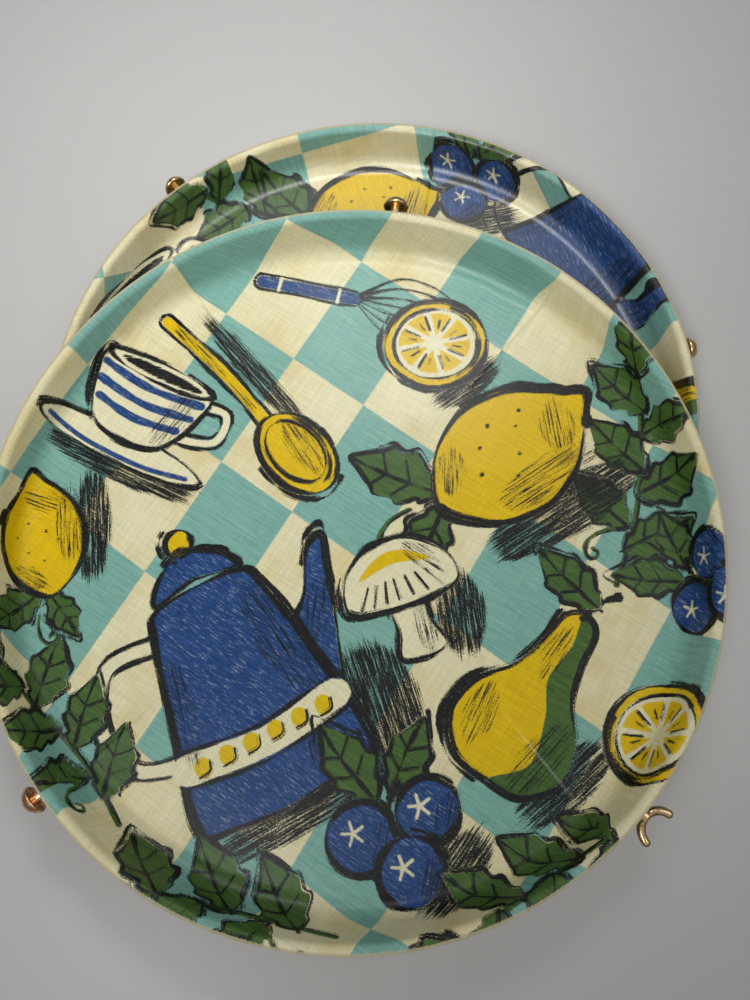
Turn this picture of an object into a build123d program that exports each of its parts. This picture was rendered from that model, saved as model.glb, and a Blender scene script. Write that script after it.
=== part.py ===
from build123d import *
import math
import os

# Two round dishes of printed cloth on a resin backing, alike in form, the front one a little wider.
# The back one lies on the table, the front one lies level on its rim, moved toward the viewer.
# Each rim carries three brass fittings.
# Millimetres, +Z up, table at z = 0, origin at the middle of the foot of the bounding box.

# Dish, driving sizes
BACK_RIM_R = 150.0
FRONT_RIM_R = 154.2
DISH_H = 22.0
FACE_T = 0.8
BACK_T = 1.6
WALL_DEG = 74.0
FLOOR_BEND_R = 9.0
LIP_BEND_R = 0.6
LIP_FLAT = 1.5

# Fittings, driving sizes
STUD_R = 1.5
STUD_REACH = 1.4
BUSH_R = 3.5
NECK_R = 2.6
CAP_R = 5.8
CAP_H = 5.2
CAP_EDGE_R = 0.8
HUB_R = 2.9
BAR_R = 1.7
BAR_BEND_R = 7.0
BAR_HALF_DEG = 80.0

# Layout: azimuth of each fitting, how far its head stands off the rim, and the step between the dishes
BACK_AZ = (2.5, 122.5, 242.5)
BACK_OUT = (0.8, 4.6, 2.0)
FRONT_AZ = (75.0, 212.5, 309.6)
FRONT_OUT = (5.4, 3.6, 0.6)
STEP_X = -17.4
STEP_Y = -67.7

# Clearances
REST_GAP = 0.3
TURN_GAP = 0.2
LIP_GAP = 0.4
CAP_DROP = 0.2
RUN_FIT = 0.05
END_GAP = 0.4

# Derived sizes of the dish, RISE_RUN is the distance from the flat floor to the rim
SHELL_T = FACE_T + BACK_T
WALL = math.radians(WALL_DEG)
COS_W = math.cos(WALL)
SIN_W = math.sin(WALL)
BENDS_R = FLOOR_BEND_R + LIP_BEND_R + SHELL_T
WALL_LEN = (DISH_H - SHELL_T - BENDS_R * (1 - COS_W)) / SIN_W
RISE_RUN = LIP_FLAT + BENDS_R * SIN_W + WALL_LEN * COS_W

# The fittings are low enough to stay under the top of the rim and to pass under the lip
FIT_DROP = max(CAP_R + CAP_DROP, SHELL_T + HUB_R + LIP_GAP)
FIT_Z = DISH_H - FIT_DROP


def profile_points(rim_r, depth):
    """Points of the dish profile at a depth below its upper side, from the axis to the rim."""
    floor_r = rim_r - RISE_RUN
    floor_z = SHELL_T - depth
    floor_bend = FLOOR_BEND_R + depth
    lip_bend = LIP_BEND_R + SHELL_T - depth
    bend_z = SHELL_T + FLOOR_BEND_R
    lip_x = rim_r - LIP_FLAT
    lip_z = DISH_H - LIP_BEND_R - SHELL_T
    half = WALL / 2
    return [
        (0, floor_z),
        (floor_r, floor_z),
        (floor_r + floor_bend * math.sin(half), bend_z - floor_bend * math.cos(half)),
        (floor_r + floor_bend * SIN_W, bend_z - floor_bend * COS_W),
        (lip_x - lip_bend * SIN_W, lip_z + lip_bend * COS_W),
        (lip_x - lip_bend * math.sin(half), lip_z + lip_bend * math.cos(half)),
        (lip_x, lip_z + lip_bend),
        (rim_r, lip_z + lip_bend),
    ]


def profile_edges(rim_r, depth):
    """Edges of the dish profile in the XZ plane."""
    p = [(x, 0, z) for x, z in profile_points(rim_r, depth)]
    return [
        Line(p[0], p[1]),
        ThreePointArc(p[1], p[2], p[3]),
        Line(p[3], p[4]),
        ThreePointArc(p[4], p[5], p[6]),
        Line(p[6], p[7]),
    ]


def ply(rim_r, upper, lower):
    """One ply of the dish, between two depths."""
    top = profile_points(rim_r, upper)
    low = profile_points(rim_r, lower)
    rim = Line((rim_r, 0, top[-1][1]), (rim_r, 0, low[-1][1]))
    axis = Line((0, 0, top[0][1]), (0, 0, low[0][1]))
    outline = profile_edges(rim_r, upper) + [rim] + profile_edges(rim_r, lower) + [axis]
    return revolve(make_face(outline), Axis.Z, 360)


def hollow_above(rim_r, depth):
    """Everything inside the dish above a depth, used to trim the fittings to the wall."""
    points = profile_points(rim_r, depth)
    top_z = 2 * DISH_H
    rim = Line((rim_r, 0, points[-1][1]), (rim_r, 0, top_z))
    lid = Line((rim_r, 0, top_z), (0, 0, top_z))
    axis = Line((0, 0, top_z), (0, 0, points[0][1]))
    outline = profile_edges(rim_r, depth) + [rim, lid, axis]
    return revolve(make_face(outline), Axis.Z, 360)


def rod(radius, start, end):
    """A round rod along X at the height of the fittings."""
    place = Plane(origin=(start, 0, FIT_Z), z_dir=(1, 0, 0))
    return place * Cylinder(radius, end - start, align=(Align.CENTER, Align.CENTER, Align.MIN))


def stud_rod(rim_r):
    """The whole length of a stud, from inside the dish to past the rim."""
    return rod(STUD_R, rim_r - RISE_RUN, rim_r + STUD_REACH)


def head_start(rim_r):
    """Where the head of a fitting begins, just past the end of its bush."""
    return rim_r - LIP_FLAT + TURN_GAP


def bore(rim_r):
    """The bore in which a stud turns."""
    return rod(STUD_R + RUN_FIT, head_start(rim_r) - END_GAP, rim_r + STUD_REACH + END_GAP)


def domed_knob(rim_r, out):
    """A domed knob on a neck, turned about X; its cap stands off the rim."""
    start = head_start(rim_r)
    cap_start = rim_r + out
    cap_end = cap_start + CAP_H
    rise = CAP_H - CAP_EDGE_R
    ball_r = (CAP_R ** 2 + rise ** 2) / (2 * rise)
    half = math.atan2(CAP_R, ball_r - rise) / 2
    crown = (cap_end - ball_r * (1 - math.cos(half)), ball_r * math.sin(half), 0)
    corner = CAP_EDGE_R * (1 - math.sqrt(0.5))
    outline = [
        Line((start, 0, 0), (start, NECK_R, 0)),
        Line((start, NECK_R, 0), (cap_start, NECK_R, 0)),
        Line((cap_start, NECK_R, 0), (cap_start, CAP_R - CAP_EDGE_R, 0)),
        ThreePointArc(
            (cap_start, CAP_R - CAP_EDGE_R, 0),
            (cap_start + corner, CAP_R - corner, 0),
            (cap_start + CAP_EDGE_R, CAP_R, 0),
        ),
        ThreePointArc((cap_start + CAP_EDGE_R, CAP_R, 0), crown, (cap_end, 0, 0)),
        Line((cap_end, 0, 0), (start, 0, 0)),
    ]
    return Pos(0, 0, FIT_Z) * revolve(make_face(outline), Axis.X, 360) - bore(rim_r)


def horned_piece(rim_r, out):
    """A thumb piece: a hub with a round bar bent into two horns; the bar stands off the rim."""
    bar_x = rim_r + out + BAR_R
    half = math.radians(BAR_HALF_DEG)
    reach = bar_x + BAR_BEND_R * (1 - math.cos(half))
    spread = BAR_BEND_R * math.sin(half)
    tips = [(reach, -spread, FIT_Z), (reach, spread, FIT_Z)]
    path = ThreePointArc(tips[0], (bar_x, 0, FIT_Z), tips[1])
    bar = sweep(Plane(origin=tips[0], z_dir=path % 0) * Circle(BAR_R), path=path)
    body = rod(HUB_R, head_start(rim_r), bar_x) + bar
    for tip in tips:
        body = body + Pos(*tip) * Sphere(BAR_R)
    return body - bore(rim_r)


def dish(name, rim_r, azimuths, outs, heads, place):
    """All the pieces of one dish, by name, at their place."""
    stud = stud_rod(rim_r) - hollow_above(rim_r, FACE_T)
    bush = rod(BUSH_R, rim_r - RISE_RUN, rim_r - LIP_FLAT) - stud_rod(rim_r) - hollow_above(rim_r, SHELL_T)
    backing = ply(rim_r, FACE_T, SHELL_T)
    for azimuth in azimuths:
        backing = backing - Rot(0, 0, azimuth) * stud_rod(rim_r)
    pieces = {name + "_face": place * ply(rim_r, 0, FACE_T), name + "_shell": place * backing}
    for number, (azimuth, out, head) in enumerate(zip(azimuths, outs, heads), start=1):
        turn = place * Rot(0, 0, azimuth)
        pieces[f"{name}_stud_{number}"] = turn * stud
        pieces[f"{name}_bush_{number}"] = turn * bush
        head_name, make = head
        pieces[f"{name}_{head_name}"] = turn * make(rim_r, out)
    return pieces


back_heads = [("knob_1", domed_knob), ("knob_2", domed_knob), ("knob_3", domed_knob)]
front_heads = [("knob_1", domed_knob), ("knob_2", domed_knob), ("wing", horned_piece)]
front_place = Pos(STEP_X, STEP_Y, DISH_H + REST_GAP)
pieces = dish("back", BACK_RIM_R, BACK_AZ, BACK_OUT, back_heads, Pos(0, 0, 0))
pieces.update(dish("front", FRONT_RIM_R, FRONT_AZ, FRONT_OUT, front_heads, front_place))

# Move the middle of the bounding box over the origin and write one file for each piece
boxes = [piece.bounding_box() for piece in pieces.values()]
middle_x = (min(box.min.X for box in boxes) + max(box.max.X for box in boxes)) / 2
middle_y = (min(box.min.Y for box in boxes) + max(box.max.Y for box in boxes)) / 2
os.makedirs("parts", exist_ok=True)
for name, piece in pieces.items():
    export_step(Pos(-middle_x, -middle_y, 0) * piece, f"parts/{name}.step")
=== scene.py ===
import math

import bpy
import numpy as np
from mathutils import Matrix, Vector


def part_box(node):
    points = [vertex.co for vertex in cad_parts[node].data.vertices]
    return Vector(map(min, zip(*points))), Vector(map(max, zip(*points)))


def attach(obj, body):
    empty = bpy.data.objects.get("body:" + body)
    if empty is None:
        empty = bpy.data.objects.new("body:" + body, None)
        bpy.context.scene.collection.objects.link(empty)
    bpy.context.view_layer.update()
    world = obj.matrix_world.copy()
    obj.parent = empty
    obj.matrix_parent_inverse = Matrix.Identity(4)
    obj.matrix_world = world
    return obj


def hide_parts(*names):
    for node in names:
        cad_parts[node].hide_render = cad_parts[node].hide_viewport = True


# Two round dishes of printed cloth set in resin. The dishes are built here as fine meshes with
# pleats and a printed pattern of this script's own; the brass fittings are the solids of the frame.
# Sizes of the dishes and of the print are in millimetres until a mesh is written.

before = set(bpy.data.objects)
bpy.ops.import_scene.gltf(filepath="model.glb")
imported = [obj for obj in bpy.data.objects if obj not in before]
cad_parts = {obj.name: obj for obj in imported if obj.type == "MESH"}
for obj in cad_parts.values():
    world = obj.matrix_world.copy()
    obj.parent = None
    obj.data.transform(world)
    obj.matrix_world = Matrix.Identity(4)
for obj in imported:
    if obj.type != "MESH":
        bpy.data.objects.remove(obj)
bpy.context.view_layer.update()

MM = 0.001

# Sizes of the dishes, of which the front one is a little wider

DISH_H = 22.0
FACE_T = 0.8
PLIES_T = 2.4
WALL = math.radians(74.0)
FLOOR_BEND_R = 9.0
LIP_R = 0.6 + PLIES_T
LIP_FLAT = 1.5
BENDS_R = FLOOR_BEND_R + LIP_R
WALL_LEN = (DISH_H - PLIES_T - BENDS_R * (1 - math.cos(WALL))) / math.sin(WALL)
RISE_RUN = LIP_FLAT + BENDS_R * math.sin(WALL) + WALL_LEN * math.cos(WALL)

# Pleats: how thick one side lies on the other, over what width and from how far inside the rim,
# what is left of that on the lip, and the run inside which a pleat's lean is full

LAP_T = 0.8
LAP_WIDTH = 9.0
LAP_REACH = 85.0
LAP_ON_LIP = 0.25
LEAN_FULL = 60.0

# Unevenness of the hand-laid cloth in waves of several lengths, and of the hand-cut rim

SWAY = 0.22
SWAY_WAVES = 9
SWAY_SHORTEST = 26.0
SWAY_LONGER = 9.0
TRIM = 0.28
TRIM_WAVES = range(2, 16)

# Spacing of the mesh rings on the outer side, on hidden sides and on the bend, how many are on the
# lip and how far from the rim they end, and the runs beyond which a ring has all, a half or a
# quarter of the points; inside these it has an eighth

OUTER_STEP = 2.0
HIDDEN_STEP = 6.0
BEND_STEP = 1.5
LIP_RINGS = 9
LIP_END = 0.3
RING_SHARES = ((62.0, 1), (30.0, 2), (14.0, 4))
INNER_SHARE = 8


def rise(value, start, end):
    """Smooth step from 0 at start to 1 at end."""
    t = np.clip((value - start) / (end - start), 0, 1)
    return t * t * (3 - 2 * t)


class Dish:
    """One dish: where it lies, its pleats and how its cloth is turned."""

    def __init__(self, name, pleats, leans, cloth_turn, seed, segments, step):
        low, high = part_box(name + "_face")
        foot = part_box(name + "_shell")[0]
        self.name = name
        self.centre = np.array([(low[0] + high[0]) / 2, (low[1] + high[1]) / 2, foot[2]]) / MM
        self.rim_r = (high[0] - low[0]) / 2 / MM
        self.pleats = np.radians(np.array(pleats, float))
        self.leans = np.radians(np.array(leans, float))
        self.cloth_turn = math.radians(cloth_turn)
        self.phase = np.random.default_rng(seed).uniform(0, 2 * math.pi, 40)
        self.segments = segments
        self.step = step
        # Runs along the upper side, from the middle to the end of each stretch of the profile
        self.run_floor = self.rim_r - RISE_RUN
        self.run_bend = self.run_floor + FLOOR_BEND_R * WALL
        self.run_wall = self.run_bend + WALL_LEN
        self.run_lip = self.run_wall + LIP_R * WALL
        self.run_rim = self.run_lip + LIP_FLAT

    def profile(self, run):
        """Distance from the axis, height and slope of the upper side at runs from the middle."""
        lip_x = self.rim_r - LIP_FLAT
        ends = [self.run_floor, self.run_bend, self.run_wall, self.run_lip]
        slope = np.interp(run, ends, [0, WALL, WALL, 0])
        bend_r = self.run_floor + FLOOR_BEND_R * np.sin(slope)
        bend_z = PLIES_T + FLOOR_BEND_R * (1 - np.cos(slope))
        wall_r = bend_r + (run - self.run_bend) * math.cos(WALL)
        wall_z = bend_z + (run - self.run_bend) * math.sin(WALL)
        lip_r = lip_x - LIP_R * np.sin(slope)
        lip_z = DISH_H - LIP_R * (1 - np.cos(slope))
        steps = [run < end for end in ends]
        r = np.select(steps, [run, bend_r, wall_r, lip_r], lip_x + run - self.run_lip)
        z = np.select(steps, [PLIES_T + 0 * run, bend_z, wall_z, lip_z], DISH_H)
        return r, z, slope

    def sector(self, angle):
        """For grid angles: the pleats before and after, the angle counted on from the first pleat,
        and the index of the pleat before."""
        ends = np.append(self.pleats, self.pleats[0] + 2 * math.pi)
        past = (angle - self.pleats[0]) % (2 * math.pi) + self.pleats[0]
        index = np.clip(np.searchsorted(ends, past + 1e-9) - 1, 0, len(self.pleats) - 1)
        return ends[index], ends[index + 1], past, index

    def lean(self, angle, run):
        """Grid angles turned so that the grid's lines follow the pleats, which lean a little."""
        start, end, past, index = self.sector(angle)
        after = (index + 1) % len(self.pleats)
        share = rise(past, start, end)
        turn = self.leans[index] * (1 - share) + self.leans[after] * share
        return angle + turn * rise(run, self.run_rim, LEAN_FULL)

    def cloth(self, angle, run):
        """Points of the flat cloth: between two pleats it lies without stretch round the wall."""
        start, end, past, _ = self.sector(angle)
        middle = (start + end) / 2
        r, _, _ = self.profile(run)
        gather = r / np.maximum(run, 1e-6)
        flat = middle + (past - middle) * np.where(run > self.run_floor, gather, 1.0)
        flat = flat + self.lean(angle, run) - angle
        return np.stack([run * np.cos(flat), run * np.sin(flat)], 1)

    def lap(self, angle, run):
        """Height of the cloth where one side of a pleat lies on the other."""
        start, _, past, _ = self.sector(angle)
        width = (past - start) * np.maximum(run, 1.0)
        fade = rise(run, self.run_rim - LAP_REACH, self.run_floor)
        fade = fade * (1 - (1 - LAP_ON_LIP) * rise(run, self.run_wall - 2, self.run_lip))
        return LAP_T * np.exp(-width / LAP_WIDTH) * fade

    def sway(self, x, y):
        """Slow unevenness of the hand-laid cloth."""
        total = np.zeros_like(x)
        for k in range(SWAY_WAVES):
            heading = self.phase[k]
            wave = 2 * math.pi / (SWAY_SHORTEST + SWAY_LONGER * k)
            along = x * math.cos(heading) + y * math.sin(heading)
            total += (0.4 + 0.13 * k) * np.cos(wave * along + self.phase[k + 10])
        return SWAY * total / SWAY_WAVES

    def trim(self, angle):
        """How far the hand-cut rim is from a true circle."""
        total = np.zeros_like(angle)
        for k in TRIM_WAVES:
            total += np.cos(k * angle + self.phase[k + 20]) / k ** 0.7
        return TRIM * total / 3 - TRIM


def segments_at(dish, run):
    """Fewer points round the middle of the dish, so that the cells stay alike."""
    for limit, share in RING_SHARES:
        if run > limit:
            return dish.segments // share
    return dish.segments // INNER_SHARE


def runs_from_middle(dish, step):
    """Runs of the rings of one side, from near the middle to the rim."""
    floor = np.arange(step, dish.run_floor - step / 2, step)
    bend = np.arange(dish.run_floor, dish.run_bend, min(step, BEND_STEP))
    wall = np.arange(dish.run_bend, dish.run_wall - step / 2, step)
    lip = np.linspace(dish.run_wall, dish.run_rim - LIP_END, LIP_RINGS)
    return np.concatenate([floor, bend, wall, lip, [dish.run_rim]])


def bridge(a, n_a, b, n_b):
    """Faces between two rings from vertices a and b on, of equal counts or one twice the other."""
    faces = []
    if n_a == n_b:
        for j in range(n_a):
            k = (j + 1) % n_a
            faces.append((a + j, b + j, b + k, a + k))
    elif n_b == 2 * n_a:
        for j in range(n_a):
            k = (j + 1) % n_a
            mid = b + 2 * j + 1
            faces += [(a + j, b + 2 * j, mid), (a + j, mid, a + k), (a + k, mid, b + 2 * k)]
    else:
        for j in range(n_b):
            k = (j + 1) % n_b
            mid = a + 2 * j + 1
            faces += [(a + 2 * j, b + j, mid), (mid, b + j, b + k), (mid, b + k, a + 2 * k)]
    return faces


def ply(dish, name, upper, lower, upper_step, lower_step, draw):
    """One closed ply of a dish as a mesh object, with the print's distances on its vertices."""
    down = [(run, upper, True) for run in runs_from_middle(dish, upper_step)]
    up = [(run, lower, False) for run in runs_from_middle(dish, lower_step)[::-1]]
    rings = down + up
    run, angle, depth, on_top, faces, start = [0.0], [0.0], [upper], [True], [], []
    for ring_run, ring_depth, top in rings:
        count = segments_at(dish, ring_run)
        start.append((len(run), count))
        angle += list(np.arange(count) * 2 * math.pi / count)
        run += [ring_run] * count
        depth += [ring_depth] * count
        on_top += [top] * count
    last = len(run)
    run.append(0.0)
    angle.append(0.0)
    depth.append(lower)
    on_top.append(False)
    first, count = start[0]
    faces += [(0, first + j, first + (j + 1) % count) for j in range(count)]
    for (a, n_a), (b, n_b) in zip(start, start[1:]):
        faces += bridge(a, n_a, b, n_b)
    first, count = start[-1]
    faces += [(first + j, last, first + (j + 1) % count) for j in range(count)]

    run, angle, depth, on_top = (np.array(values) for values in (run, angle, depth, on_top))
    place = dish.lean(angle, run)
    r, z, slope = dish.profile(run)
    r = r + np.sin(slope) * depth
    z = z - np.cos(slope) * depth
    swell = np.where(on_top & (upper == 0), 1.0, 0.0)
    flat_x, flat_y = r * np.cos(place), r * np.sin(place)
    sway = dish.sway(flat_x, flat_y) * (1 - rise(run, dish.run_bend, dish.run_wall))
    swell = swell * (dish.lap(angle, run) + sway)
    r = r - np.sin(slope) * swell + dish.trim(place) * rise(run, dish.run_lip - 1, dish.run_rim)
    z = z + np.cos(slope) * swell
    points = np.stack([r * np.cos(place), r * np.sin(place), z], 1) + dish.centre

    mesh = bpy.data.meshes.new(name)
    mesh.from_pydata((points * MM).tolist(), [], faces)
    mesh.polygons.foreach_set("use_smooth", np.ones(len(faces), bool))
    flat = dish.cloth(angle, run)
    turn = dish.cloth_turn
    along = flat[:, 0] * math.cos(turn) + flat[:, 1] * math.sin(turn)
    across = flat[:, 1] * math.cos(turn) - flat[:, 0] * math.sin(turn)
    write_attribute(mesh, "cloth", np.stack([along, across, dish.run_rim - run], 1))
    sheet = draw(flat)
    for layer, inks in INK_LAYERS.items():
        write_attribute(mesh, layer, np.stack([sheet.ink[ink] for ink in inks], 1))
    write_attribute(mesh, "brush", sheet.brush)
    mesh.validate()
    mesh.update()
    piece = bpy.data.objects.new(name, mesh)
    bpy.context.scene.collection.objects.link(piece)
    return piece


def write_attribute(mesh, name, values):
    """Stores one vector on each vertex, for the materials to read."""
    layer = mesh.attributes.new(name, "FLOAT_VECTOR", "POINT")
    layer.data.foreach_set("vector", values.astype(np.float32).ravel())


# The print: distances are kept up to FAR and stored in two layers of three, where cream fills the
# last two places. An ink laid over others clears them up to OVERLAP inside its edge. The depth of
# black brushwork, less than 0 inside a mark, says how much of it the bristles leave.

FAR = 9.0
INKS = ("aqua", "yellow", "green", "blue", "cream")
INK_LAYERS = {"inks_a": INKS[:3], "inks_b": INKS[3:] + ("cream",)}
OVERLAP = 0.3
LINE_STEEP = 3.0
LINE_DEEP = -2.0
HATCH_DEEP = -0.9
SHADE_DEEP = 0.45

# Brush lines: the least share of their width, how far an outline is off the edge of its fill, how
# much wider it is than its second stroke, and how much the widths of the two sway

BRUSH_THINNEST = 0.25
OUTLINE_SHIFT = np.array([0.5, -0.4])
OUTLINE_WIDER = 1.2
OUTLINE_SWAY = 0.45
SECOND_SWAY = 0.6


def curve(points, closed=False, steps=6):
    """A smooth line through points."""
    p = np.array(points, float)
    count = len(p)
    spans = count if closed else count - 1
    line = []
    for i in range(spans):
        if closed:
            a, b, c, d = p[i - 1], p[i], p[(i + 1) % count], p[(i + 2) % count]
        else:
            a, b, c, d = p[max(i - 1, 0)], p[i], p[i + 1], p[min(i + 2, count - 1)]
        for t in np.arange(steps) / steps:
            line.append(
                0.5 * (2 * b + (c - a) * t + (2 * a - 5 * b + 4 * c - d) * t ** 2
                       + (3 * b - a - 3 * c + d) * t ** 3)
            )
    if not closed:
        line.append(p[-1])
    return np.array(line)


def oval(x, y, a, b, turn=0.0, steps=28):
    """An ellipse as a closed line."""
    t = np.arange(steps) * 2 * math.pi / steps
    c, s = math.cos(math.radians(turn)), math.sin(math.radians(turn))
    u, v = a * np.cos(t), b * np.sin(t)
    return np.stack([x + u * c - v * s, y + u * s + v * c], 1)


class Print:
    """Signed distances, in mm, from points of the flat cloth to the edge of each coloured ink.

    The black brushwork is kept as the place along and across the nearest brush mark and a depth,
    less than 0 inside it, so that the material can break it up into bristle lines.
    """

    def __init__(self, points):
        self.points = points
        self.ink = {name: np.full(len(points), FAR) for name in INKS}
        self.brush = np.zeros((len(points), 3))
        self.brush[:, 2] = FAR
        self.place()

    def place(self, x=0.0, y=0.0, turn=0.0, size=1.0):
        """Where the next shapes go."""
        c, s = math.cos(math.radians(turn)), math.sin(math.radians(turn))
        self.matrix = size * np.array([[c, -s], [s, c]])
        self.shift = np.array([x, y])
        self.size = size

    def near(self, line, margin):
        """The line at its place, and which points are near it."""
        line = line @ self.matrix.T + self.shift
        low, high = line.min(0) - margin, line.max(0) + margin
        inside = np.all((self.points > low) & (self.points < high), axis=1)
        return line, np.nonzero(inside)[0]

    @staticmethod
    def distance(points, line, widths):
        """For points near a line: distance past its edge, and place along and across it."""
        best = np.full(len(points), np.inf)
        along = np.zeros(len(points))
        across = np.zeros(len(points))
        run = 0.0
        for k, (a, b) in enumerate(zip(line, line[1:])):
            step = b - a
            size = max(math.hypot(*step), 1e-9)
            past = points - a
            t = np.clip(past @ step / size ** 2, 0, 1)
            off = past - t[:, None] * step
            width = widths[k] * (1 - t) + widths[k + 1] * t
            gap = np.sqrt(np.einsum("ij,ij->i", off, off)) - width / 2
            nearer = gap < best
            best = np.where(nearer, gap, best)
            along = np.where(nearer, run + t * size, along)
            side = (step[0] * past[:, 1] - step[1] * past[:, 0]) / size
            across = np.where(nearer, side, across)
            run += size
        return best, along, across

    def cover(self, ink, index, gap):
        """Lays a coloured ink over what is there."""
        held = self.ink[ink]
        held[index] = np.minimum(held[index], gap)
        for other in INKS[1:]:
            if other != ink:
                layer = self.ink[other]
                layer[index] = np.maximum(layer[index], np.maximum(-gap, -FAR) - OVERLAP)
        depth = self.brush[index, 2]
        self.brush[index, 2] = np.maximum(depth, np.clip(-gap * LINE_STEEP, -FAR, FAR))

    def mark(self, index, along, across, depth):
        """Lays a black brush mark where it is deeper than what is there."""
        deeper = depth < self.brush[index, 2]
        self.brush[index[deeper]] = np.stack([along, across, depth], 1)[deeper]

    def fill(self, ink, line):
        """Fills a closed line with a coloured ink, or with black."""
        line, index = self.near(line, FAR)
        if len(index) == 0:
            return
        points = self.points[index]
        ends = np.roll(line, -1, axis=0)
        gap, _, _ = self.distance(points, np.concatenate([line, line[:1]]), np.zeros(len(line) + 1))
        inside = np.zeros(len(points), bool)
        for a, b in zip(line, ends):
            crosses = (a[1] > points[:, 1]) != (b[1] > points[:, 1])
            drop = b[1] - a[1] if abs(b[1] - a[1]) > 1e-9 else 1e-9
            inside ^= crosses & (points[:, 0] < a[0] + (points[:, 1] - a[1]) * (b[0] - a[0]) / drop)
        gap = np.where(inside, -gap, gap)
        if ink == "black":
            self.mark(index, points[:, 0], points[:, 1], np.maximum(gap * LINE_STEEP, LINE_DEEP))
        else:
            self.cover(ink, index, gap)

    def stroke(self, ink, line, width, sway=0.0):
        """Draws a line with an ink; with sway, its width swells and thins as a brush's does."""
        t = np.linspace(0, 1, len(line))
        beat = 0.37 * line[0, 0] + 0.61 * line[-1, 1] + 0.05 * self.shift[0]
        swell = np.sin(10.7 * t + beat) + 0.6 * np.sin(25.8 * t + 2 * beat)
        widths = width * self.size * np.maximum(1 + sway * swell, BRUSH_THINNEST)
        line, index = self.near(line, FAR)
        if len(index) == 0:
            return
        gap, along, across = self.distance(self.points[index], line, widths)
        if ink == "black":
            self.mark(index, along + 40 * beat, across, np.maximum(gap * LINE_STEEP, LINE_DEEP))
        else:
            self.cover(ink, index, gap)

    def outline(self, line, width=1.7):
        """A brushed dark outline, a little off the edge of the fill, drawn twice in places."""
        closed = np.concatenate([line, line[:1]])
        self.stroke("black", closed + OUTLINE_SHIFT, width * OUTLINE_WIDER, OUTLINE_SWAY)
        count = len(closed)
        first = int(count * (0.5 + 0.3 * math.sin(line[0, 0] + self.shift[1])))
        again = np.roll(closed[:-1], -first, axis=0)[: max(count * 2 // 5, 3)]
        middle = closed.mean(0)
        wider = 1 + 4.0 / max(np.ptp(line[:, 0]), 8.0)
        self.stroke("black", middle + (again - middle) * wider, width, SECOND_SWAY)

    def hatch(self, x, y, heading, length, count, gap, deep=HATCH_DEEP):
        """A patch of dry brush strokes side by side, for shade."""
        a = math.radians(heading)
        ahead = self.matrix @ np.array([math.cos(a), math.sin(a)]) / self.size
        middle = self.matrix @ np.array([x, y]) + self.shift
        past = self.points - middle
        along = past @ ahead
        across = past @ np.array([-ahead[1], ahead[0]])
        half = self.size * length / 2
        end = np.abs(along) - half
        taper = np.maximum(1.15 - 0.6 * (along / half) ** 2, 0)
        side = np.abs(across) - self.size * count * gap / 2 * taper
        depth = np.maximum(np.maximum(0.35 * end, 1.2 * side), deep)
        index = np.nonzero(depth < FAR / 2)[0]
        self.mark(index, along[index] + 9 * x, across[index] + 7 * y, depth[index])


# Heading of each row of checks in degrees, cell size, and where a row starts
WARP = -35.4
CHECK_AXES = ((WARP, 40.0, 9.7), (51.2, 58.6, -1.7))


def checks(points):
    """Signed distance to the edges of the checks, less than 0 in the aqua ones."""
    waves = []
    for heading, cell, offset in CHECK_AXES:
        a = math.radians(heading)
        along = points[:, 0] * math.cos(a) + points[:, 1] * math.sin(a) - offset
        waves.append(np.sin(math.pi * along / cell) * cell / math.pi)
    larger = np.maximum(np.maximum(abs(waves[0]), abs(waves[1])), 1e-6)
    return waves[0] * waves[1] / larger


# Edge of a leaf, along its length and across its width
LEAF_EDGE = (
    (0, 0), (0.14, 0.30), (0.2, 0.27), (0.36, 0.48), (0.44, 0.42), (0.62, 0.47), (0.68, 0.36),
    (0.86, 0.16), (1, 0), (0.86, -0.18),
    (0.7, -0.34), (0.6, -0.46), (0.46, -0.42), (0.36, -0.52), (0.2, -0.3), (0.12, -0.28),
)


def leaf(p, x, y, heading, length, width):
    """One toothed leaf with a middle rib and a few side ribs."""
    a = math.radians(heading)
    ahead = np.array([math.cos(a), math.sin(a)])
    side = np.array([-math.sin(a), math.cos(a)])
    root = np.array([x, y])

    def at(u, v):
        return root + ahead * (u * length) + side * (v * width)

    line = curve([at(u, v) for u, v in LEAF_EDGE], closed=True, steps=4)
    p.fill("green", line)
    p.outline(line, 1.3)
    p.stroke("black", curve([at(-0.05, 0), at(0.5, 0.05), at(0.95, 0)]), 1.5, 0.4)
    for u in (0.3, 0.56):
        p.stroke("black", np.array([at(u, 0.03), at(u + 0.13, 0.34)]), 1.2)
        p.stroke("black", np.array([at(u, 0.03), at(u + 0.13, -0.32)]), 1.2)


def tendril(p, x, y, heading, size):
    """A curling green shoot."""
    a = np.radians(heading + np.array([0, 10, 30, 62, 110, 175, 245, 320]))
    step = size * np.array([0.9, 0.8, 0.65, 0.5, 0.42, 0.36, 0.3, 0.25])
    path = np.array([x, y]) + np.cumsum(np.stack([step * np.cos(a), step * np.sin(a)], 1), 0)
    p.stroke("green", curve(path), 1.9, 0.2)
    p.stroke("black", curve(path + np.array([0.8, -0.6]), steps=4), 1.1, 0.6)


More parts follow.
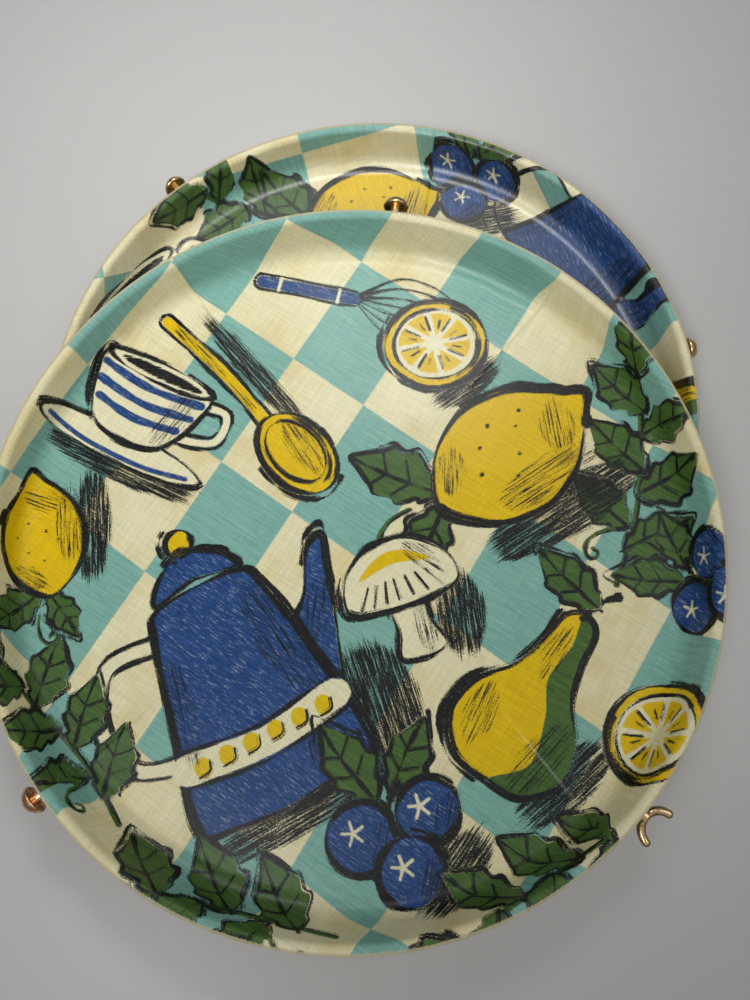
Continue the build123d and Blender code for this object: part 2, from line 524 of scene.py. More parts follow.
def lemon(p):
    """A lemon with two leaves and a brushed shadow."""
    body = curve(
        [(-33, 0), (-27, 11), (-16, 20), (0, 24), (16, 20), (27, 11), (32, 6),
         (39, 0), (32, -7), (27, -12), (16, -20), (0, -24), (-16, -20), (-27, -11)],
        closed=True,
    )
    p.hatch(2, -29, -8, 58, 8, 2.2)
    leaf(p, -29, 5, 118, 36, 21)
    leaf(p, -31, 0, 205, 30, 17)
    tendril(p, -34, 4, 160, 9)
    p.fill("yellow", body)
    p.outline(body, 2.3)
    p.hatch(6, -16, -6, 36, 5, 2.4, SHADE_DEEP)
    p.hatch(22, -4, 58, 17, 4, 2.6, SHADE_DEEP)
    p.hatch(-20, 8, 50, 14, 3, 3.0, SHADE_DEEP)
    for x, y in ((-6, 8), (2, 13), (10, 6), (-12, 0), (4, -3), (15, 10), (-2, -9)):
        p.fill("black", oval(x, y, 0.9, 0.8, steps=7))


def half_lemon(p):
    """A cut lemon with its segments."""
    p.hatch(14, -22, 32, 34, 6, 2.4)
    p.fill("yellow", oval(0, 0, 25, 23))
    p.outline(oval(0, 0, 25, 23), 2.1)
    p.fill("cream", oval(0, 0, 21, 19))
    for k in range(8):
        a = math.radians(45 * k + 12)
        b = math.radians(45 * k + 47)
        tips = [(3.5 * math.cos((a + b) / 2), 3.5 * math.sin((a + b) / 2))]
        for t in np.linspace(a, b, 5):
            tips.append((17.5 * math.cos(t), 15.8 * math.sin(t)))
        p.fill("yellow", np.array(tips))
        middle = (a + b) / 2
        rib = np.array([math.cos(a), 0.88 * math.sin(a)])
        vein = np.array([math.cos(middle), 0.9 * math.sin(middle)])
        p.stroke("black", np.array([8 * rib, 16 * rib]), 1.2)
        p.stroke("black", np.array([9 * vein, 13 * vein]), 1.0)
    p.outline(oval(0, 0, 20.5, 18.5), 1.2)


def pear(p):
    """A pear with a stalk and a leaf, green on its shaded side."""
    body = curve(
        [(0, 38), (7, 34), (9, 20), (13, 6), (23, -8), (25, -24), (15, -36),
         (0, -38), (-15, -36), (-25, -24), (-23, -8), (-13, 6), (-9, 20), (-7, 34)],
        closed=True,
    )
    shade = curve(
        [(0, 37), (7, 34), (9, 20), (13, 6), (23, -8), (25, -24), (15, -36),
         (2, -37), (12, -24), (8, -6), (1, 8), (2, 24)],
        closed=True,
    )
    p.hatch(27, -22, 74, 40, 7, 2.3)
    p.fill("yellow", body)
    p.fill("green", shade)
    p.outline(body, 2.2)
    p.stroke("black", curve([(0, 36), (2, 44), (7, 51)]), 3.0, 0.3)
    leaf(p, 3, 43, 168, 34, 18)
    p.hatch(14, -20, 80, 29, 5, 2.4, SHADE_DEEP)
    p.hatch(-14, -18, 98, 20, 3, 3.2, SHADE_DEEP)
    p.hatch(-2, 18, 88, 18, 2, 3.4, SHADE_DEEP)


def coffee_pot(p):
    """A tall enamel pot with a spout, a loop handle and a domed lid."""
    body = curve(
        [(-36, -44), (-31, -10), (-24, 26), (-19, 37), (0, 39), (19, 37),
         (24, 26), (31, -10), (36, -44), (22, -49), (0, -51), (-22, -49)],
        closed=True,
    )
    lid = curve([(-18, 39), (-13, 48), (0, 54), (13, 48), (18, 39), (0, 42)], closed=True)
    spout = curve(
        [(25, 4), (36, 17), (45, 33), (53, 35), (48, 19), (41, -3), (31, -26)],
        closed=True,
    )
    loop = curve([(-24, 25), (-44, 25), (-54, 6), (-48, -14), (-31, -20)])
    p.hatch(44, -34, 82, 44, 12, 2.2)
    p.hatch(2, -55, 2, 70, 5, 2.4)
    p.stroke("black", loop, 8.6, 0.12)
    p.stroke("cream", loop, 4.8)
    p.fill("blue", spout)
    p.outline(spout, 2.1)
    p.fill("blue", body)
    p.fill("blue", lid)
    p.fill("yellow", oval(0, 58, 5.5, 5.5))
    p.outline(oval(0, 58, 5.5, 5.5), 1.6)
    p.outline(body, 2.5)
    p.outline(lid, 2.0)
    band = curve(
        [(-32, -17), (0, -21), (32, -17), (33.5, -28), (0, -32), (-33.5, -28)],
        closed=True,
        steps=4,
    )
    p.fill("cream", band)
    for x in (-25, -15, -5, 5, 15, 25):
        p.fill("yellow", oval(x, -24.5, 3.4, 3.9, steps=14))
        p.stroke("black", curve([(x - 2.5, -27.5), (x + 2, -27), (x + 3.4, -23.5)], steps=3), 1.2)
    p.stroke("black", curve([(-32, -16), (0, -20), (32, -16)]), 1.5, 0.3)
    p.stroke("black", curve([(-33.5, -29), (0, -33), (33.5, -29)]), 1.5, 0.3)
    p.hatch(21, 6, 99, 42, 6, 2.5, SHADE_DEEP)
    p.hatch(-24, -2, 80, 34, 3, 2.6, SHADE_DEEP)
    p.hatch(20, -40, 80, 14, 6, 2.6, SHADE_DEEP)
    p.hatch(38, 8, 58, 22, 3, 2.6, SHADE_DEEP)


def cup(p):
    """A striped cup on a saucer."""
    bowl = curve(
        [(-28, 17), (-10, 15), (10, 15), (28, 17), (26, -2),
         (17, -17), (0, -21), (-17, -17), (-26, -2)],
        closed=True,
    )
    loop = curve([(25, 10), (39, 11), (40, -3), (22, -9)])
    p.hatch(6, -31, 2, 72, 6, 2.4)
    p.fill("cream", oval(0, -23, 44, 8))
    p.outline(oval(0, -23, 44, 8), 1.8)
    p.stroke("blue", curve([(-37, -24), (-15, -28), (15, -28), (37, -24)]), 2.4)
    p.stroke("black", loop, 7.0, 0.15)
    p.stroke("cream", loop, 3.4)
    p.fill("cream", bowl)
    for y, x in ((9, 26), (1, 24.5), (-7, 21)):
        p.stroke("blue", curve([(-x, y + 1), (0, y - 2), (x, y + 1)]), 3.8, 0.12)
    p.outline(bowl, 2.0)
    p.hatch(17, -2, 80, 25, 4, 2.4, SHADE_DEEP)
    p.fill("cream", oval(0, 16.5, 28, 5))
    p.fill("black", oval(1, 16, 22, 2.6))
    p.outline(oval(0, 16.5, 28, 5), 1.6)


def sprig(p):
    """A stem with leaves on both sides."""
    stem = curve([(0, -58), (4, -22), (0, 18), (-5, 50)])
    p.stroke("green", stem, 2.6)
    p.stroke("black", stem + np.array([0.9, 0]), 1.4, 0.4)
    for y, x in ((-42, 1), (-14, 4), (14, 1)):
        leaf(p, x, y, 36, 36, 22)
        leaf(p, x, y + 12, 146, 34, 21)
    leaf(p, -4, 45, 96, 34, 20)
    tendril(p, 2, -30, 200, 9)


def berries(p):
    """Three round berries and two leaves."""
    p.hatch(16, -24, 36, 34, 7, 2.3)
    leaf(p, -4, 9, 112, 34, 19)
    leaf(p, 2, 9, 48, 30, 17)
    for x, y, r in ((-13, -2, 13), (13, 0, 12), (1, -18, 12.5)):
        ring = oval(x, y, r, r * 0.96, 20 + x)
        p.fill("blue", ring)
        p.outline(ring, 2.0)
        p.hatch(x + 0.5 * r, y - 0.35 * r, 62, r, 3, 2.3, SHADE_DEEP)
        for k in range(5):
            a = math.radians(72 * k + 20)
            crown = np.array([x - 2, y + 2])
            tip = crown + 4.2 * np.array([math.cos(a), math.sin(a)])
            p.stroke("cream", np.array([crown, tip]), 1.6)


def spoon(p):
    """A wooden spoon."""
    handle = curve([(0, 8), (1.5, 40), (-1, 78)])
    p.hatch(12, 30, 88, 70, 4, 2.3)
    p.stroke("black", handle, 9.0, 0.1)
    p.stroke("yellow", handle, 5.4)
    p.fill("yellow", oval(0, -12, 15, 22))
    p.outline(oval(0, -12, 15, 22), 2.1)
    p.outline(oval(0, -11, 11, 17), 1.4)
    p.hatch(4, -12, 80, 24, 4, 2.5, SHADE_DEEP)
    p.hatch(0, 44, 89, 50, 2, 2.0, SHADE_DEEP)


def whisk(p):
    """A balloon whisk."""
    for width in (5, 11, 17):
        left = [(-width, -18), (-0.8 * width, -42)]
        wire = curve([(0, 6)] + left + [(0, -54), (0.8 * width, -42), (width, -18), (0, 6)])
        p.stroke("black", wire, 1.6, 0.3)
    p.stroke("black", np.array([(0, 4), (0, -54)]), 1.5)
    grip = curve([(0, 6), (0, 58)])
    p.stroke("black", grip, 11.0, 0.08)
    p.stroke("blue", grip, 7.2)
    p.stroke("cream", np.array([(-3.5, 14), (3.5, 14)]), 2.4)
    p.stroke("cream", np.array([(-3.5, 48), (3.5, 48)]), 2.4)


def mushroom(p):
    """A mushroom cut through."""
    stem = curve(
        [(-7, 0), (-8, -14), (-11, -26), (0, -29), (11, -26), (8, -14), (7, 0)],
        closed=True,
    )
    cap = curve(
        [(-26, 0), (-24, 14), (-12, 25), (0, 27), (12, 25),
         (24, 14), (26, 0), (12, -4), (-12, -4)],
        closed=True,
    )
    p.hatch(22, -16, 78, 34, 8, 2.3)
    p.fill("cream", stem)
    p.outline(stem, 1.8)
    p.hatch(5, -16, 84, 18, 3, 2.3, SHADE_DEEP)
    p.fill("cream", cap)
    p.outline(cap, 2.0)
    for x in (-20, -14, -8, -2, 5, 12, 19):
        p.stroke("black", np.array([(x, -1), (x * 0.7, 8)]), 1.3)
    p.fill("yellow", curve([(-17, 12), (-6, 20), (6, 20), (17, 12), (0, 15)], closed=True))
    p.hatch(14, 14, 128, 16, 3, 2.4, SHADE_DEEP)


# Motif, middle in mm from the middle of the dish, turn in degrees and size
FRONT_LAYOUT = (
    (spoon, -30, 54, 40, 1.0),
    (cup, -92, 74, -30, 0.98),
    (whisk, 12, 118, 74, 0.85),
    (coffee_pot, -50, -52, 24, 1.1),
    (half_lemon, 44, 94, 0, 0.95),
    (sprig, 128, 30, -16, 0.95),
    (lemon, 72, 38, 36, 1.2),
    (mushroom, 22, -22, 16, 0.95),
    (pear, 74, -66, -38, 1.05),
    (berries, 12, -112, 14, 1.1),
    (sprig, -128, -70, 38, 0.85),
    (lemon, -136, 12, 100, 0.8),
    (half_lemon, 122, -86, 20, 0.9),
    (sprig, -66, -146, 78, 0.95),
    (sprig, 70, -146, 112, 0.9),
    (berries, 150, -24, 60, 0.9),
)
BACK_LAYOUT = (
    (sprig, -62, 116, 66, 0.95),
    (coffee_pot, 104, 74, -62, 1.06),
    (lemon, 4, 112, 12, 1.05),
    (berries, 62, 130, -30, 0.95),
    (cup, -108, 66, 44, 1.0),
    (pear, 132, -6, -98, 0.95),
    (half_lemon, -136, 0, 0, 1.0),
    (spoon, 20, 18, 30, 1.0),
    (mushroom, -40, 24, -14, 1.0),
    (pear, -84, -56, 40, 1.0),
    (lemon, 46, -60, 70, 1.1),
    (berries, -16, -114, 160, 1.1),
    (sprig, 112, -74, 20, 0.9),
    (whisk, -110, -112, 30, 0.9),
)


def turned(points, degrees):
    """Points of a sheet that lies turned by an angle, as the sheet sees them."""
    a = math.radians(degrees)
    return points @ np.array([[math.cos(a), -math.sin(a)], [math.sin(a), math.cos(a)]])


def drawer(layout, turn, check_turn):
    """A function that gives the inks at points of a dish's flat cloth."""

    def draw(points):
        points = turned(points, turn)
        sheet = Print(points)
        sheet.ink["aqua"] = np.clip(checks(turned(points, check_turn)), -FAR, FAR)
        for motif, x, y, heading, size in layout:
            sheet.place(x, y, heading, size)
            motif(sheet)
        return sheet

    return draw


# Materials


class Shader:
    """Short names for building a material from nodes."""

    def __init__(self, name):
        self.material = bpy.data.materials.new(name)
        self.material.use_nodes = True
        self.tree = self.material.node_tree
        self.surface = self.tree.nodes["Principled BSDF"]

    def node(self, kind, **inputs):
        """A node with values or links on its named inputs."""
        made = self.tree.nodes.new("ShaderNode" + kind)
        for name, value in inputs.items():
            self.put(made.inputs[name], value)
        return made

    def put(self, socket, value):
        """Links a socket, or sets its value."""
        if isinstance(value, bpy.types.NodeSocket):
            self.tree.links.new(value, socket)
        else:
            socket.default_value = value

    def attribute(self, name):
        """A vector that is stored on the vertices."""
        made = self.tree.nodes.new("ShaderNodeAttribute")
        made.attribute_name = name
        return made.outputs["Vector"]

    def parts(self, vector):
        """The three parts of a vector."""
        return self.node("SeparateXYZ", Vector=vector).outputs

    def math(self, kind, a, b=0.0, c=0.0):
        """One step of arithmetic on up to three values."""
        made = self.tree.nodes.new("ShaderNodeMath")
        made.operation = kind
        for socket, value in zip(made.inputs, (a, b, c)):
            self.put(socket, value)
        return made.outputs[0]

    def stretch(self, vector, x, y, z=0.0, turn=0.0):
        """A vector scaled along its axes and then turned about the third one."""
        spin = (0.0, 0.0, math.radians(turn))
        return self.node("Mapping", Vector=vector, Scale=(x, y, z), Rotation=spin).outputs[0]

    def noise(self, vector, scale=1.0, detail=2.0, roughness=0.5):
        """A noise from 0 to 1."""
        inputs = {"Scale": scale, "Detail": detail, "Roughness": roughness}
        return self.node("TexNoise", Vector=vector, **inputs).outputs[0]

    def ramp(self, value, start, end, low=0.0, high=1.0):
        """A smooth step from low at start to high at end."""
        made = self.tree.nodes.new("ShaderNodeMapRange")
        made.interpolation_type = "SMOOTHSTEP"
        names = ("Value", "From Min", "From Max", "To Min", "To Max")
        for name, item in zip(names, (value, start, end, low, high)):
            self.put(made.inputs[name], item)
        return made.outputs[0]

    def mix(self, share, a, b, kind="MIX"):
        """Colour a with a share of colour b, laid over it or multiplied with it."""
        made = self.tree.nodes.new("ShaderNodeMix")
        made.data_type = "RGBA"
        made.blend_type = kind
        colours = [socket for socket in made.inputs if socket.type == "RGBA"]
        self.put(made.inputs[0], share)
        for socket, value in zip(colours, (a, b)):
            self.put(socket, value if isinstance(value, bpy.types.NodeSocket) else (*value, 1.0))
        return [socket for socket in made.outputs if socket.type == "RGBA"][0]

    def bump(self, height, distance, strength):
        """A fine relief, as a normal."""
        made = self.node("Bump", Height=height, Distance=distance, Strength=strength)
        return made.outputs[0]


# Colours of the cloth, its inks, the backing and the floor

CREAM = (0.80, 0.75, 0.49)
AQUA = (0.26, 0.49, 0.42)
AQUA_DEEP = (0.17, 0.38, 0.325)
YELLOW = (0.79, 0.55, 0.006)
YELLOW_DEEP = (0.70, 0.45, 0.005)
GREEN = (0.085, 0.165, 0.035)
GREEN_DEEP = (0.04, 0.095, 0.022)
BLUE = (0.008, 0.038, 0.14)
BLUE_PALE = (0.020, 0.075, 0.24)
FLECK = (0.38, 0.46, 0.58)
INK = (0.006, 0.007, 0.006)
INK_WORN = (0.06, 0.06, 0.05)
FIBRE = (0.52, 0.45, 0.28)
STAIN = (0.86, 0.74, 0.46)
AMBER = (0.52, 0.40, 0.20)
TABLE = (0.53, 0.52, 0.505)
TABLE_PALE = (0.56, 0.55, 0.535)

# Width of a thread and how far an uneven one wanders, blur of the print's edges on the cloth and
# through the backing, and depths of fine relief

THREAD = 0.95
THREAD_WANDER = 2.5
PRINT_BLUR = 0.28
BACKING_BLUR = 1.1
WEAVE_DEPTH = 0.03 * MM
STRAND_DEPTH = 0.12 * MM
SCRATCH_DEPTH = 0.02 * MM
PEBBLE_DEPTH = 0.1 * MM

# How far the edge of each ink follows the threads, how dry the coloured ones are laid, and stretch
# and depth of the bristle lines in the black

INK_BITE = {"aqua": 0.45, "cream": 0.3, "yellow": 0.4, "green": 0.4, "blue": 0.4, "black": 1.5}
INK_DRY = {"aqua": 0.3, "cream": 0.0, "yellow": 0.8, "green": 0.8, "blue": 0.8}
BRISTLE_STRETCH = 0.045
BRISTLE_DEPTH = 9.0

# The resin over the cloth, and the width of the dull band along the rim

RESIN_IOR = 1.45
RESIN_SPECULAR = 0.25
COAT_ROUGH = 0.3
DULL_FROM = 5.0
DULL_FULL = 1.0


def weave(shader, cloth):
    """Height of a plain weave, from -1 to 1, and the tone of its uneven threads."""
    s = shader
    along, across, _ = s.parts(cloth)
    slub = s.noise(s.stretch(cloth, 1.0, 1.0), 0.35, 2.0)
    turn = 2 * math.pi / THREAD
    shift = s.math("MULTIPLY", slub, THREAD_WANDER)
    warp = s.math("SINE", s.math("MULTIPLY_ADD", along, turn, shift))
    weft = s.math("SINE", s.math("MULTIPLY_ADD", across, turn, shift))
    height = s.math("MULTIPLY", warp, weft)
    warp_tone = s.noise(s.stretch(cloth, 1.05, 0.05), 1.0, 2.0)
    weft_tone = s.noise(s.stretch(cloth, 0.05, 1.05), 1.0, 2.0)
    return height, s.math("ADD", warp_tone, weft_tone)


def printed(shader, soft):
    """The print's colour from the distances on the vertices, and what else the materials use of it.

    The edges of the inks are blurred by soft, in mm.
    """
    s = shader
    cloth = s.attribute("cloth")
    parts = [part for layer in INK_LAYERS for part in s.parts(s.attribute(layer))]
    inks = dict(zip(INKS, parts))
    along, across, depth = s.parts(s.attribute("brush"))
    drawn = s.math("MULTIPLY", along, BRISTLE_STRETCH)
    bristle = s.noise(s.node("CombineXYZ", X=drawn, Y=across).outputs[0], 1.25, 3.0, 0.6)
    flat = s.stretch(cloth, 1.0, 1.0)
    threads, tone = weave(s, cloth)
    grain = s.noise(flat, 1.3, 3.0, 0.65)
    streak = s.noise(s.stretch(cloth, 0.07, 0.9, turn=28.0), 1.0, 4.0, 0.65)
    press = s.noise(s.stretch(cloth, 0.10, 0.16, turn=20.0), 1.0, 3.0, 0.6)
    cloud = s.noise(flat, 0.03, 3.0, 0.5)
    tooth = s.math("MULTIPLY_ADD", threads, -0.5, s.math("MULTIPLY_ADD", grain, -2.6, 1.3))

    def laid(name):
        """Where a coloured ink lies."""
        dry = INK_DRY[name]
        gap = s.math("MULTIPLY_ADD", tooth, INK_BITE[name], inks[name])
        gap = s.math("ADD", gap, s.math("MULTIPLY_ADD", press, dry, -0.46 * dry))
        return s.ramp(gap, soft, -soft)

    thin = s.ramp(s.math("MULTIPLY_ADD", threads, 0.10, streak), 0.30, 0.72)
    broken = s.noise(s.stretch(cloth, 0.20, 1.5), 1.0, 2.0, 0.6)
    fleck = s.ramp(s.math("MULTIPLY_ADD", grain, 0.35, broken), 0.70, 0.96, 0.0, 0.7)
    age = s.math("MULTIPLY_ADD", s.noise(flat, 0.11, 4.0, 0.6), 0.4, cloud)
    colour = s.mix(s.ramp(age, 0.55, 1.0, 0.0, 0.75), CREAM, STAIN, "MULTIPLY")
    colour = s.mix(laid("aqua"), colour, s.mix(thin, AQUA, AQUA_DEEP))
    colour = s.mix(laid("cream"), colour, CREAM)
    colour = s.mix(laid("yellow"), colour, s.mix(thin, YELLOW, YELLOW_DEEP))
    colour = s.mix(laid("green"), colour, s.mix(thin, GREEN, GREEN_DEEP))
    flecked = s.mix(fleck, s.mix(thin, BLUE_PALE, BLUE), FLECK)
    colour = s.mix(laid("blue"), colour, flecked)
    dry = s.math("MULTIPLY_ADD", bristle, -BRISTLE_DEPTH, BRISTLE_DEPTH / 2)
    depth = s.math("ADD", depth, dry)
    black = s.ramp(s.math("MULTIPLY_ADD", tooth, INK_BITE["black"], depth), 0.5, -0.5)
    colour = s.mix(black, colour, s.mix(fleck, INK, INK_WORN))
    return colour, cloth, grain, cloud, threads, tone


def cloth_material(name, roughness, coat, relief):
    """Printed cotton under resin, with a pale cut edge."""
    s = Shader(name)
    colour, cloth, grain, cloud, threads, tone = printed(s, PRINT_BLUR)
    # Painted shade: the colour is darker in the valleys of the weave and lighter on the thread
    # crowns; the thread tone also varies at random
    painted_weave_shade = s.ramp(threads, -1.0, 1.0, 0.84, 1.07)
    tone_shade = s.ramp(tone, 0.6, 1.4, 0.90, 1.08)
    shade = s.math("MULTIPLY", painted_weave_shade, tone_shade)
    grey = s.node("CombineColor", Red=shade, Green=shade, Blue=shade).outputs[0]
    colour = s.mix(1.0, colour, grey, "MULTIPLY")
    to_edge = s.parts(cloth)[2]
    frayed = s.ramp(s.math("MULTIPLY_ADD", grain, -2.2, to_edge), 0.35, -0.35)
    colour = s.mix(s.math("MULTIPLY", frayed, 0.85), colour, FIBRE)
    s.put(s.surface.inputs["Base Color"], colour)
    rough = s.ramp(s.math("ADD", grain, cloud), 0.7, 1.3, roughness - 0.07, roughness + 0.09)
    edge = s.ramp(to_edge, DULL_FROM, DULL_FULL)
    s.put(s.surface.inputs["Roughness"], s.math("MULTIPLY_ADD", edge, 0.3, rough))
    s.put(s.surface.inputs["Coat Weight"], s.math("MULTIPLY_ADD", edge, -coat, coat))
    s.surface.inputs["Coat Roughness"].default_value = COAT_ROUGH
    s.surface.inputs["IOR"].default_value = RESIN_IOR
    s.surface.inputs["Specular IOR Level"].default_value = RESIN_SPECULAR
    s.put(s.surface.inputs["Normal"], s.bump(s.math("ADD", threads, tone), WEAVE_DEPTH, relief))
    return s.material


def backing_material(name):
    """Amber resin over glass cloth, with the print showing through."""
    s = Shader(name)
    colour, cloth, grain, _, _, _ = printed(s, BACKING_BLUR)
    flat = s.stretch(cloth, 1.0, 1.0)
    strands = s.noise(s.stretch(cloth, 0.16, 1.4, turn=70.0), 1.0, 4.0, 0.7)
    colour = s.mix(s.ramp(strands, 0.2, 0.8, 0.42, 0.66), colour, AMBER)
    aged = s.ramp(s.noise(flat, 0.12, 4.0), 0.5, 0.8, 0.0, 0.5)
    colour = s.mix(aged, colour, STAIN, "MULTIPLY")
    s.put(s.surface.inputs["Base Color"], colour)
    s.put(s.surface.inputs["Roughness"], s.ramp(strands, 0.2, 0.8, 0.26, 0.44))
    s.put(s.surface.inputs["Normal"], s.bump(s.math("ADD", strands, grain), STRAND_DEPTH, 0.6))
    return s.material


def brass_material(name, light, dark, roughness):
    """Polished brass with tarnish in patches and fine scratches."""
    s = Shader(name)
    place = s.node("TexCoord").outputs["Object"]
    patch = s.noise(place, 320.0, 4.0, 0.6)
    fine = s.noise(s.stretch(place, 1.0, 1.0, 6.0), 900.0, 3.0, 0.6)
    tarnish = s.ramp(s.math("MULTIPLY_ADD", fine, 0.35, patch), 0.52, 0.95)
    s.put(s.surface.inputs["Base Color"], s.mix(tarnish, light, dark))
    s.surface.inputs["Metallic"].default_value = 1.0
    s.put(s.surface.inputs["Roughness"], s.ramp(tarnish, 0.0, 1.0, roughness, roughness + 0.3))
    s.put(s.surface.inputs["Normal"], s.bump(fine, SCRATCH_DEPTH, 0.35))
    return s.material


def floor_material(name):
    """A plain pale grey top with a fine pebbled grain, which glows for the camera far out."""
    s = Shader(name)
    place = s.node("TexCoord").outputs["Object"]
    grain = s.noise(place, 700.0, 2.0)
    cloud = s.noise(place, 2.5, 3.0)
    colour = s.mix(s.ramp(cloud, 0.3, 0.7), TABLE, TABLE_PALE)
    s.put(s.surface.inputs["Base Color"], colour)
    s.surface.inputs["Roughness"].default_value = FLOOR_ROUGH
    s.put(s.surface.inputs["Normal"], s.bump(grain, PEBBLE_DEPTH, 0.25))
    reach = s.node("VectorMath", Vector=place)
    reach.operation = "LENGTH"
    fade = s.ramp(reach.outputs["Value"], FADE_START, FADE_END, 0.0, FADE_GLOW)
    seen = s.math("MULTIPLY", fade, s.node("LightPath").outputs["Is Camera Ray"])
    s.surface.inputs["Emission Color"].default_value = (1.0, 1.0, 1.0, 1.0)
    s.put(s.surface.inputs["Emission Strength"], seen)
    return s.material


# The dishes: where their pleats are, how far these lean, and how the cloth is turned

FRONT_PLEATS = (12.8, 44.3, 114.3, 166.8, 212.8, 303.8, 337.2)
FRONT_LEANS = (0, 2, -3, 2, -2, 2, 7)
BACK_PLEATS = (17.8, 69.8, 111.8, 158.8, 207.8, 263.8, 317.8)
BACK_LEANS = (2, -3, 2, 0, 3, -2, 2)
CLOTH_TURN = -4.2
BACK_TURN = -41.0

FRONT_WARP = CLOTH_TURN + WARP
BACK_WARP = CLOTH_TURN + BACK_TURN + WARP

front = Dish("front", FRONT_PLEATS, FRONT_LEANS, FRONT_WARP, seed=11, segments=1200, step=0.8)
back = Dish("back", BACK_PLEATS, BACK_LEANS, BACK_WARP, seed=23, segments=960, step=1.0)

front_draw = drawer(FRONT_LAYOUT, CLOTH_TURN, 0.0)
back_draw = drawer(BACK_LAYOUT, CLOTH_TURN, BACK_TURN)

satin_cloth = cloth_material("satin_cloth", roughness=0.28, coat=0.0, relief=0.35)
gloss_cloth = cloth_material("gloss_cloth", roughness=0.34, coat=0.9, relief=0.7)
resin_backing = backing_material("resin_backing")

for dish, draw, cloth in ((front, front_draw, satin_cloth), (back, back_draw, gloss_cloth)):
    face = ply(dish, dish.name + "_cloth", 0.0, FACE_T, dish.step, HIDDEN_STEP, draw)
    face.data.materials.append(cloth)
    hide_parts(dish.name + "_face")
    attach(face, dish.name + "_dish")
    shell = ply(dish, dish.name + "_backing", FACE_T, PLIES_T, HIDDEN_STEP, OUTER_STEP, draw)
    shell.data.materials.append(resin_backing)
    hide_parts(dish.name + "_shell")
    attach(shell, dish.name + "_dish")

# The brass fittings, all of one brass; one is redder for a painted warm reflection, one browner for
# painted shade

BRASS = (0.82, 0.60, 0.30)
BRASS_DARK = (0.36, 0.21, 0.09)
# Painted shade: a darker copy of the brass for the wing
BRASS_SHADED = (0.52, 0.37, 0.20)
BRASS_SHADED_DARK = (0.20, 0.12, 0.06)
# Painted reflection: the redder knob's colour stands in for a warm thing reflected in the brass
BRASS_WARM_REFLECTION = (0.84, 0.48, 0.27)
BRASS_WARM_REFLECTION_DARK = (0.38, 0.16, 0.08)

brass = brass_material("aged_brass", BRASS, BRASS_DARK, roughness=0.14)
shaded_brass = brass_material("shaded_brass", BRASS_SHADED, BRASS_SHADED_DARK, roughness=0.15)
warm_reflection_brass = brass_material("warm_reflection_brass", BRASS_WARM_REFLECTION, BRASS_WARM_REFLECTION_DARK, roughness=0.13)
# The redder knob carries a painted warm reflection and the wing painted shade
METALS = {"front_knob_2": warm_reflection_brass, "front_wing": shaded_brass}

for name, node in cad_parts.items():
    if name.endswith(("_face", "_shell")):
        continue
    metal = METALS.get(name, brass)
    if not node.material_slots:
        node.data.materials.append(None)
    for holder in node.material_slots:
        holder.link = "OBJECT"
        holder.material = metal

# Floor, light and camera

# The surroundings light the object softly. Seen directly they are pale, and in the metal they are
# pale above and darker towards the horizon.
WORLD_LIGHT = 0.18
WORLD_SEEN = 0.36
WORLD_LOW = 0.10
WORLD_HIGH = 0.60
WORLD_HIGH_FROM = 0.9

# Between these distances in metres the floor begins to glow for the camera, so that far from the
# object it fades into the surroundings
FADE_START = 0.18
FADE_END = 0.9
FADE_GLOW = 0.23

# The floor lies a little below the foot, so that the two don't share a plane
FLOOR_SIZE = 30.0
FLOOR_DROP = 0.0002
FLOOR_ROUGH = 0.42
bpy.ops.mesh.primitive_plane_add(size=FLOOR_SIZE, location=(0.0, 0.0, -FLOOR_DROP))
floor = bpy.context.object
floor.name = "floor"
floor.data.materials.append(floor_material("floor_top"))


def soft_lamp(name, place, aim, size, power, spread=180.0):
    """A soft box, with a grid in front of it where its spread is narrow."""
    lamp = bpy.data.lights.new(name, "AREA")
    lamp.shape = "RECTANGLE"
    lamp.size, lamp.size_y = size
    lamp.energy = power
    lamp.spread = math.radians(spread)
    holder = bpy.data.objects.new(name, lamp)
    holder.location = place
    holder.visible_camera = False
    holder.rotation_euler = (Vector(aim) - Vector(place)).to_track_quat("-Z", "Y").to_euler()
    bpy.context.scene.collection.objects.link(holder)


soft_lamp(
    "near_lamp", place=(-0.42, -0.45, 0.95), aim=(-0.04, 0.15, 0.02),
    size=(0.35, 0.35), power=0.55, spread=50.0,
)
soft_lamp(
    "far_lamp", place=(0.055, 0.34, 0.60), aim=(-0.06, 0.18, 0.02),
    size=(0.26, 0.12), power=0.36, spread=76.0,
)
soft_lamp(
    "right_lamp", place=(0.62, -0.05, 0.85), aim=(0.1, -0.05, 0.03),
    size=(0.50, 0.50), power=1.15,
)

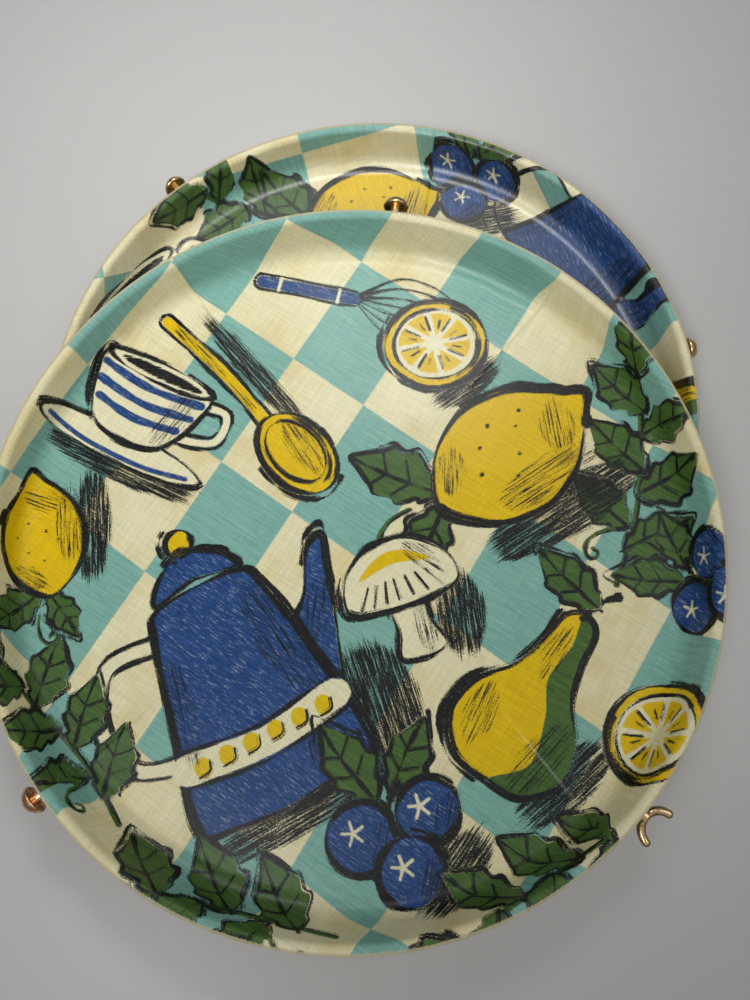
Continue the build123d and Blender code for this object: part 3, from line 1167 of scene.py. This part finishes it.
world = bpy.data.worlds.new("studio")
world.use_nodes = True
sky = world.node_tree
surround = sky.nodes["Background"]
surround.inputs["Color"].default_value = (1.0, 1.0, 1.0, 1.0)
height = sky.nodes.new("ShaderNodeSeparateXYZ")
mirrored = sky.nodes.new("ShaderNodeMapRange")
mirrored.interpolation_type = "SMOOTHSTEP"
mirrored.inputs["From Max"].default_value = WORLD_HIGH_FROM
mirrored.inputs["To Min"].default_value = WORLD_LOW
mirrored.inputs["To Max"].default_value = WORLD_HIGH
ray = sky.nodes.new("ShaderNodeLightPath")
unseen = sky.nodes.new("ShaderNodeMix")
unseen.inputs["A"].default_value = WORLD_LIGHT
strength = sky.nodes.new("ShaderNodeMix")
strength.inputs["B"].default_value = WORLD_SEEN
sky.links.new(sky.nodes.new("ShaderNodeTexCoord").outputs["Generated"], height.inputs[0])
sky.links.new(height.outputs["Z"], mirrored.inputs["Value"])
sky.links.new(ray.outputs["Is Glossy Ray"], unseen.inputs["Factor"])
sky.links.new(mirrored.outputs[0], unseen.inputs["B"])
sky.links.new(ray.outputs["Is Camera Ray"], strength.inputs["Factor"])
sky.links.new(unseen.outputs[0], strength.inputs["A"])
sky.links.new(strength.outputs[0], surround.inputs["Strength"])
bpy.context.scene.world = world

# The camera looks along +Y and steeply down, turned a little about its own line of sight. Its place
# is from the middle of the back dish, and its focal length is a share of the sensor's height.
CAMERA_FROM_BACK = (-3.64, -126.97, 347.06)
CAMERA_DOWN = math.radians(76.233)
CAMERA_ROLL = math.radians(7.568)
FOCAL = 0.75
SENSOR_H = 36.0
CLIP_START = 0.01

ahead = Vector((0.0, math.cos(CAMERA_DOWN), -math.sin(CAMERA_DOWN)))
level = Vector((1.0, 0.0, 0.0))
below = ahead.cross(level)
right = math.cos(CAMERA_ROLL) * level + math.sin(CAMERA_ROLL) * below
upward = math.sin(CAMERA_ROLL) * level - math.cos(CAMERA_ROLL) * below
lens = bpy.data.cameras.new("camera")
lens.sensor_fit = "VERTICAL"
lens.sensor_height = SENSOR_H
lens.lens = FOCAL * SENSOR_H
lens.clip_start = CLIP_START
camera = bpy.data.objects.new("camera", lens)
stand = Matrix.Translation((back.centre + np.array(CAMERA_FROM_BACK)) * MM)
camera.matrix_world = stand @ Matrix((right, upward, -ahead)).transposed().to_4x4()
bpy.context.scene.collection.objects.link(camera)
bpy.context.scene.camera = camera

bpy.context.scene.view_settings.view_transform = "Standard"
